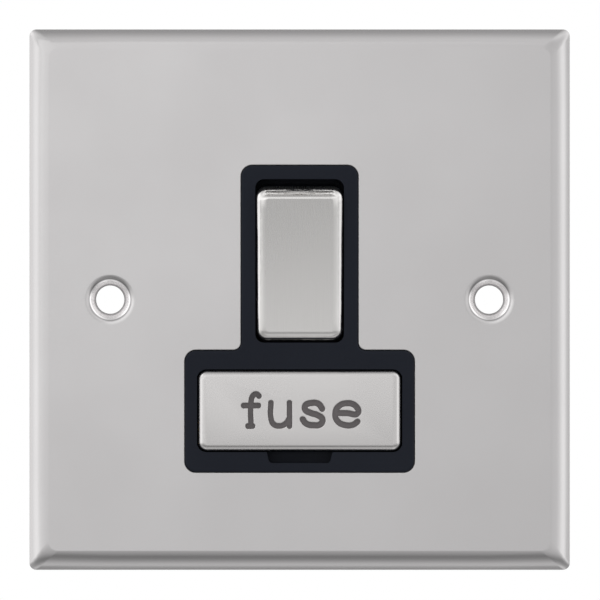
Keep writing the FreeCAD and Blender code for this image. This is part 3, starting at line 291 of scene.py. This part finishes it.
def makeMaterial(name, look):
    material = bpy.data.materials.new(name)
    material.use_nodes = True
    tree = material.node_tree
    tree.nodes.clear()
    edge = addNode(tree, "Group", node_tree=softEdge)
    skin = addNode(tree, "Group", node_tree=finish)
    fillSockets(tree, edge, {"Radius": look["soft"] * mm})
    fillSockets(tree, skin, {
        "Colour": (*look["colour"], 1),
        "Blotch": (*look["blotch"], 1),
        "Edge": (*look["edge"], 1),
        "Roughness": look["roughness"],
        "Spread": look["spread"],
        "Grain": look["grain"] * mm,
        "Stretch": look.get("stretch", (1, 1, 1)),
        "Relief": look["relief"] * mm,
        "EdgeWearAndHighlight": look["edgeWearAndHighlight"],
        "Mask": edge.outputs["Mask"],
        "Normal": edge.outputs["Normal"],
    })
    colour = skin.outputs["Colour"]
    # The satin nickel's colour is scaled by the painted highlight and painted shade round the
    # fixing holes
    if look.get("paintsDimpleLight"):
        # input 3 is the factor of a vector scaled by a number
        level = addNode(tree, "Group", node_tree=dimplePaintedLevel).outputs["Level"]
        colour = addNode(tree, "VectorMath", {0: colour, 3: level}, operation="SCALE").outputs[0]
    shader = addNode(tree, "BsdfPrincipled", {
        "Base Color": colour,
        "Roughness": skin.outputs["Roughness"],
        "Normal": skin.outputs["Normal"],
    })
    shader.inputs["Metallic"].default_value = look["metal"]
    shader.inputs["Specular IOR Level"].default_value = look.get("specular", 0.5)
    addNode(tree, "OutputMaterial", {"Surface": shader.outputs[0]})
    return material


materials = {name: makeMaterial(name, look) for name, look in finishes.items()}
slotOf = {row["node"]: row["material_slot"] for row in record["subparts"]}
for name, item in nodes.items():
    item.data.materials.clear()
    item.data.materials.append(materials[slotOf[name]])
print("materials made:", len(materials))


# Pieces made here
def placeObject(name, data):
    placed = bpy.data.objects.new(name, data)
    bpy.context.scene.collection.objects.link(placed)
    return placed


def newPiece(name, mesh, body, replaced, mats):
    piece = placeObject(name, mesh)
    for material in mats:
        mesh.materials.append(material)
    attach(piece, body)
    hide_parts(replaced)
    return piece


def finishedMesh(item):
    # The mesh that an object's curve or modifiers come to
    return bpy.data.meshes.new_from_object(
        item.evaluated_get(bpy.context.evaluated_depsgraph_get()))


# Edges that turn by less than this are shaded round, in degrees
roundBelow = {"drawerCap": 40, "rockerCap": 35, "studs": 30}


def smoothByAngle(mesh, degrees):
    mesh.shade_smooth()
    shape = bmesh.new()
    shape.from_mesh(mesh)
    limit = math.radians(degrees)
    for edge in shape.edges:
        edge.smooth = len(edge.link_faces) == 2 and edge.calc_face_angle(0) < limit
    shape.to_mesh(mesh)
    shape.free()


def copyMesh(name):
    # A joined copy that takes its shading from its own shape
    joinWithin = 0.001 * mm
    mesh = nodes[name].data.copy()
    stored = mesh.attributes.get("custom_normal")
    if stored:
        mesh.attributes.remove(stored)
    shape = bmesh.new()
    shape.from_mesh(mesh)
    bmesh.ops.remove_doubles(shape, verts=shape.verts, dist=joinWithin)
    shape.to_mesh(mesh)
    shape.free()
    mesh.materials.clear()
    return mesh


# The word on the drawer is cut into its cap with a round-nosed tool: each letter is the tool's
# radius and its strokes. All in millimetres, but for how finely the cut is drawn.
word = {
    "depth": 0.3,
    "tube": {"bevel_resolution": 4, "resolution_u": 8},
    "ball": {"u_segments": 20, "v_segments": 12},
    "letters": [
        (0.5, [
            [(-7.73, -20.06), (-7.73, -16.63), (-7.46, -15.36), (-6.9, -15.0), (-6.46, -15.32)],
            [(-8.9, -16.84), (-7.7, -16.82), (-6.55, -16.84)],
            [(-8.2, -20.09), (-7.73, -20.11), (-7.48, -20.09)],
        ]),
        (0.5, [
            [(-4.56, -16.4), (-4.56, -18.8), (-4.14, -19.8), (-3.12, -20.06), (-2.15, -19.64),
             (-1.62, -18.84)],
            [(-1.62, -16.4), (-1.6, -18.3), (-1.6, -20.09)],
        ]),
        (0.57, [
            [(3.58, -17.34), (2.97, -16.56), (1.87, -16.43), (0.92, -16.82), (0.88, -17.48),
             (1.8, -18.02), (2.87, -18.37), (3.62, -19.03), (3.37, -19.75), (2.2, -19.96),
             (1.02, -19.69), (0.48, -19.03)],
        ]),
        (0.55, [
            [(5.87, -18.02), (7.55, -18.04), (9.26, -18.02), (8.95, -16.96), (7.55, -16.46),
             (6.15, -17.01), (5.66, -18.13), (6.02, -19.31), (7.26, -19.95), (8.56, -19.85),
             (9.2, -19.4)],
        ]),
    ],
}


def makeWordCutter(front):
    shape = bmesh.new()
    for radius, strokes in word["letters"]:
        line = bpy.data.curves.new("wordLine", "CURVE")
        line.dimensions = "3D"
        line.bevel_depth = radius * mm
        line.use_fill_caps = True
        for key, value in word["tube"].items():
            setattr(line, key, value)
        height = front - (radius - word["depth"]) * mm
        for stroke in strokes:
            spline = line.splines.new("BEZIER")
            spline.bezier_points.add(len(stroke) - 1)
            for point, (x, z) in zip(spline.bezier_points, stroke):
                point.co = (x * mm, height, z * mm)
                point.handle_left_type = point.handle_right_type = "AUTO"
            for x, z in (stroke[0], stroke[-1]):
                ball = bmesh.ops.create_uvsphere(shape, radius=radius * mm, **word["ball"])
                bmesh.ops.translate(shape, verts=ball["verts"], vec=(x * mm, height, z * mm))
        holder = placeObject("wordLine", line)
        tubes = finishedMesh(holder)
        bpy.data.objects.remove(holder)
        shape.from_mesh(tubes)
    mesh = bpy.data.meshes.new("wordCutter")
    shape.to_mesh(mesh)
    shape.free()
    return mesh


def makeDrawerCap():
    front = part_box("fuse_carrier_cap")[0][1]
    mesh = copyMesh("fuse_carrier_cap")
    mats = [materials["drawer_nickel"], materials["word_paint"]]
    cap = newPiece(
        "fuse_cap_with_word", mesh, "fuse_drawer", "fuse_carrier_cap", mats)
    cutterMesh = makeWordCutter(front)
    for material in mats:
        cutterMesh.materials.append(material)
    for face in cutterMesh.polygons:
        face.material_index = 1
    cutter = placeObject("wordCutter", cutterMesh)
    cut = cap.modifiers.new("word", "BOOLEAN")
    cut.operation = "DIFFERENCE"
    cut.solver = "EXACT"
    cut.use_self = True
    cut.object = cutter
    result = finishedMesh(cap)
    cap.modifiers.clear()
    cap.data = result
    bpy.data.objects.remove(cutter)
    smoothByAngle(result, roundBelow["drawerCap"])
    painted = sum(face.material_index for face in result.polygons)
    print("drawer cap faces:", len(result.polygons), "painted:", painted)


makeDrawerCap()

# The rocker's face, in millimetres
rockerFace = {
    "shoulder": 0.45,  # how wide its rolled edge is
    "roll": 1.7,  # how the edge curves: 1 is a flat chamfer, 2 is round
    "fall": {"side": 0.12, "top": 0.55, "bottom": 0.15},  # how far the edge falls away
    "spread": {"side": 0.25, "top": 0.0, "bottom": 0.05},  # how far the edge stands out
    "raise": {"by": 0.5, "within": 6},  # how far the top goes up, and over what length
    "hollow": 0.2,
    "corner": 0.9,
    "skin": 0.6,  # what lies deeper than this stays as it is
    "over": 1.2,  # the roll goes on over the edge, up to this many shoulders
    "rings": 8,  # cuts in the edge
    "flatRings": 5,  # more of them on the flat beside it
    "rows": 14,
    "flat": 0.01,  # radians
}


def makeRockerCap():
    mesh = copyMesh("rocker_cap")
    shape = bmesh.new()
    shape.from_mesh(mesh)
    flat = rockerFace["flat"]
    bmesh.ops.dissolve_limit(shape, angle_limit=flat, verts=shape.verts, edges=shape.edges)
    face = max((f for f in shape.faces if f.normal.y < 0), key=lambda f: f.calc_area())
    out = face.normal.copy()
    up = Vector((0, out.z, -out.y))
    side = Vector((1, 0, 0))
    heights = [v.co.dot(up) for v in face.verts]
    middle = (max(heights) + min(heights)) / 2
    level = face.verts[0].co.dot(out)
    half = (max(v.co.x for v in face.verts), max(heights) - middle)
    shoulder = rockerFace["shoulder"] * mm

    def cut(way, at):
        everything = shape.verts[:] + shape.edges[:] + shape.faces[:]
        bmesh.ops.bisect_plane(
            shape, geom=everything, dist=0.0001 * mm, plane_co=way * at, plane_no=way)

    # The last cuts lie on the flat, so that the shading stops at the edge
    for ring in range(1, rockerFace["rings"] + rockerFace["flatRings"] + 1):
        inset = shoulder * ring / rockerFace["rings"]
        for sign in (1, -1):
            cut(side, sign * (half[0] - inset))
            cut(up, middle + sign * (half[1] - inset))
    for row in range(1, rockerFace["rows"]):
        cut(up, middle + (half[1] - shoulder) * (2 * row / rockerFace["rows"] - 1))
    corner = rockerFace["corner"] * mm
    skin = rockerFace["skin"] * mm
    start = half[1] - rockerFace["raise"]["within"] * mm
    for vert in shape.verts:
        across, along, height = vert.co.x, vert.co.dot(up) - middle, vert.co.dot(out) - level
        if height < -skin:
            continue
        beyond = Vector((abs(across) - half[0] + corner, abs(along) - half[1] + corner))
        outer = Vector((max(beyond.x, 0), max(beyond.y, 0)))
        inside = corner - outer.length - min(max(beyond), 0)
        near = min(rockerFace["over"], max(0.0, 1 - inside / shoulder))
        away = outer.normalized()
        reach = {}
        for key in ("fall", "spread"):
            values = rockerFace[key]
            end = values["top" if along > 0 else "bottom"]
            reach[key] = (values["side"] * away.x ** 2 + end * away.y ** 2) * mm
        push = reach["spread"] * min(near, 1)
        vert.co += side * math.copysign(away.x, across) * push
        vert.co += up * math.copysign(away.y, along) * push
        hollow = rockerFace["hollow"] * mm * max(0.0, 1 - (along / half[1]) ** 2)
        vert.co -= out * (reach["fall"] * near ** rockerFace["roll"] + hollow)
        raised = (along - start) / (half[1] - shoulder - start)
        vert.co += up * rockerFace["raise"]["by"] * mm * min(1.0, max(0.0, raised))
    shape.to_mesh(mesh)
    shape.free()
    smoothByAngle(mesh, roundBelow["rockerCap"])
    mats = [materials["brushed_nickel"]]
    newPiece("rocker_cap_soft", mesh, "rocker", "rocker_cap", mats)
    print("rocker cap faces:", len(mesh.polygons))


makeRockerCap()

# The studs' thread: pitch and depth in millimetres, and how finely it is drawn
studThread = {"pitch": 0.5, "depth": 0.27, "around": 28, "perTurn": 8}


def addThreadedRod(shape, centre, radius, low, high):
    # A ridge that winds up the rod, faded out over its last half turn at each end
    pitch, depth = studThread["pitch"] * mm, studThread["depth"] * mm
    around = studThread["around"]
    rings = math.ceil((high - low) / pitch * studThread["perTurn"])
    loops = []
    for ring in range(rings + 1):
        y = low + (high - low) * ring / rings
        fade = min(1.0, (y - low) / pitch * 2, (high - y) / pitch * 2)
        loop = []
        for step in range(around):
            turn = 2 * math.pi * step / around
            phase = (y / pitch + step / around) % 1.0
            reach = radius - depth * (1 - fade * abs(2 * phase - 1))
            x, z = centre[0] + reach * math.cos(turn), centre[1] + reach * math.sin(turn)
            loop.append(shape.verts.new((x, y, z)))
        loops.append(loop)
    for lower, upper in zip(loops, loops[1:]):
        for step in range(around):
            after = (step + 1) % around
            shape.faces.new((lower[step], upper[step], upper[after], lower[after]))
    shape.faces.new(loops[0])
    shape.faces.new(reversed(loops[-1]))


def makeStuds():
    low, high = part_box("plate_studs")
    shape = bmesh.new()
    places = [v.co for v in nodes["plate_studs"].data.vertices]
    across = max(p.x for p in places)
    rise = max(p.z for p in places)
    studRadius = (across - min(p.x for p in places if p.x > 0)) / 2
    for x in (across - studRadius, studRadius - across):
        for z in (rise - studRadius, studRadius - rise):
            addThreadedRod(shape, (x, z), studRadius, low[1], high[1])
    mesh = bpy.data.meshes.new("threaded_studs")
    shape.to_mesh(mesh)
    shape.free()
    smoothByAngle(mesh, roundBelow["studs"])
    mats = [materials["plated_steel"]]
    newPiece("threaded_studs", mesh, "housing", "plate_studs", mats)
    print("stud faces:", len(mesh.polygons))


makeStuds()

# Each plunger's spring, copied into a piece of its own under the rocker's body
springs = {
    "live_plunger_spring": ("live_spring_coil", "live_plunger_push"),
    "neutral_plunger_spring": ("neutral_spring_coil", "neutral_plunger_push"),
}


def makeSprings():
    for name, (pieceName, joint) in springs.items():
        mesh = nodes[name].data.copy()
        mesh.materials.clear()
        mats = [materials[slotOf[name]]]
        piece = newPiece(pieceName, mesh, "rocker", name, mats)
        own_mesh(piece)


makeSprings()

# The stage round the part. What the metal mirrors has a level straight ahead of it, and levels
# from left to right and from down to up, at places that run from -1 to 1.
stageValues = {
    "floorDrop": 0.17,
    "floorHalf": 1.5,
    "floorFade": (0.22, 0.7),
    "floorColour": (0.86, 0.86, 0.855),
    "floorRoughness": 0.9,
    "level": 0.62,
    "ahead": 0.69,
    "across": [
        (-1.0, 1.62), (-0.95, 1.98), (-0.85, 2.12), (-0.77, 1.92), (-0.66, 1.56), (-0.56, 1.18),
        (-0.2, 1.0), (0.0, 0.98), (0.19, 1.22), (0.34, 1.3), (0.56, 1.25), (0.7, 1.4),
        (0.77, 1.7), (0.86, 1.9), (0.95, 1.95), (1.0, 1.05)],
    "upward": [
        (-1.0, 0.42), (-0.97, 1.15), (-0.87, 0.96), (-0.76, 0.63), (-0.6, 0.41), (-0.45, 0.31),
        (-0.3, 0.58), (-0.12, 1.0), (0.0, 1.0), (0.3, 0.84), (0.55, 1.06), (0.66, 1.3),
        (0.82, 1.13), (0.91, 0.92), (0.98, 0.76), (1.0, 0.61)],
}


def makeFloor():
    half = stageValues["floorHalf"]
    z = cadBox[0].z - stageValues["floorDrop"]
    mesh = bpy.data.meshes.new("floor")
    corners = [(-half, -half, z), (half, -half, z), (half, half, z), (-half, half, z)]
    mesh.from_pydata(corners, [], [(0, 1, 2, 3)])
    floor = placeObject("floor", mesh)
    material = bpy.data.materials.new("palePaper")
    material.use_nodes = True
    tree = material.node_tree
    shader = tree.nodes["Principled BSDF"]
    shader.inputs["Base Color"].default_value = (*stageValues["floorColour"], 1)
    shader.inputs["Roughness"].default_value = stageValues["floorRoughness"]
    # Further out it fades into the white behind, and from below it isn't seen
    reach = addNode(tree, "VectorMath", {0: addPlace(tree)}, operation="LENGTH").outputs["Value"]
    gone = addRange(tree, reach, *stageValues["floorFade"], interpolation_type="SMOOTHSTEP")
    below = addNode(tree, "NewGeometry").outputs["Backfacing"]
    away = addMath(tree, "MAXIMUM", gone, below)
    clear = addNode(tree, "BsdfTransparent").outputs[0]
    both = addNode(tree, "MixShader", {0: away, 1: shader.outputs[0], 2: clear}).outputs[0]
    fillSockets(tree, tree.nodes["Material Output"], {"Surface": both})
    mesh.materials.append(material)
    floor.visible_glossy = False


def makeMirrored(tree):
    way = addNode(tree, "SeparateXYZ", {0: addPlace(tree, "Generated")}).outputs
    levels = []
    for label, key in (("X", "across"), ("Z", "upward")):
        place = addMath(tree, "MULTIPLY_ADD", way[label], 0.5, 0.5)
        stops = [(at / 2 + 0.5, level) for at, level in stageValues[key]]
        levels.append(addLevels(tree, place, stops))
    return addMath(tree, "MULTIPLY", addMath(tree, "MULTIPLY", *levels), stageValues["ahead"])


def makeWorld():
    world = bpy.data.worlds.new("studio")
    bpy.context.scene.world = world
    world.use_nodes = True
    tree = world.node_tree
    tree.nodes.clear()

    def addGlow(colour, strength):
        return addNode(tree, "Background", {"Color": colour, "Strength": strength}).outputs[0]

    path = addNode(tree, "LightPath").outputs
    white = addGlow((1, 1, 1, 1), 1.0)
    studio = addGlow(makeMirrored(tree), 1.0)
    level = addGlow((1, 1, 1, 1), stageValues["level"])
    mirrored = addMath(tree, "MAXIMUM", path["Is Glossy Ray"], path["Is Transmission Ray"])
    seen = addNode(tree, "MixShader", {0: mirrored, 1: level, 2: studio}).outputs[0]
    whole = addNode(tree, "MixShader", {0: path["Is Camera Ray"], 1: seen, 2: white}).outputs[0]
    addNode(tree, "OutputWorld", {"Surface": whole})


# Two soft boxes. The large one's lower right corner lies by the camera, which shades the
# plate's face.
lamps = {
    "keyLamp": dict(place=(-0.59, -1.5, 0.47), aim=(-0.59, 0, 0.47), size=(1.3, 1.1), power=2.3),
    "sideLamp": dict(place=(1.3, -1.1, 0.1), aim=(0, 0, 0), size=(1.0, 1.0), power=0.3),
}


def makeLamps():
    for name, values in lamps.items():
        light = bpy.data.lights.new(name, "AREA")
        light.shape = "RECTANGLE"
        light.size, light.size_y = values["size"]
        light.energy = values["power"]
        lamp = placeObject(name, light)
        lamp.location = values["place"]
        way = Vector(values["aim"]) - lamp.location
        lamp.rotation_euler = way.to_track_quat("-Z", "Y").to_euler()


# The photograph looks straight at the plate, which fills 540.4 of its 600 pixels
view = {
    "distance": 1.4,
    "plateWidth": 0.086,
    "plateShare": 540.4 / 600,
    "rimDepth": -0.0026,
    "centre": (0.00006, -0.00006),
    "sensor": 36,  # millimetres
    "farEnd": 20,
}


def makeCamera():
    camera = bpy.data.cameras.new("camera")
    front = cadBox[0].y
    toRim = view["distance"] + view["rimDepth"] - front
    camera.sensor_width = view["sensor"]
    camera.lens = view["sensor"] * toRim / (view["plateWidth"] / view["plateShare"])
    camera.clip_end = view["farEnd"]
    holder = placeObject("camera", camera)
    x, z = view["centre"]
    holder.location = (x, front - view["distance"], z)
    holder.rotation_euler = (math.pi / 2, 0, 0)
    bpy.context.scene.camera = holder


makeFloor()
makeWorld()
makeLamps()
makeCamera()
bpy.context.scene.view_settings.view_transform = "Standard"
print("stage, lamps and camera set")
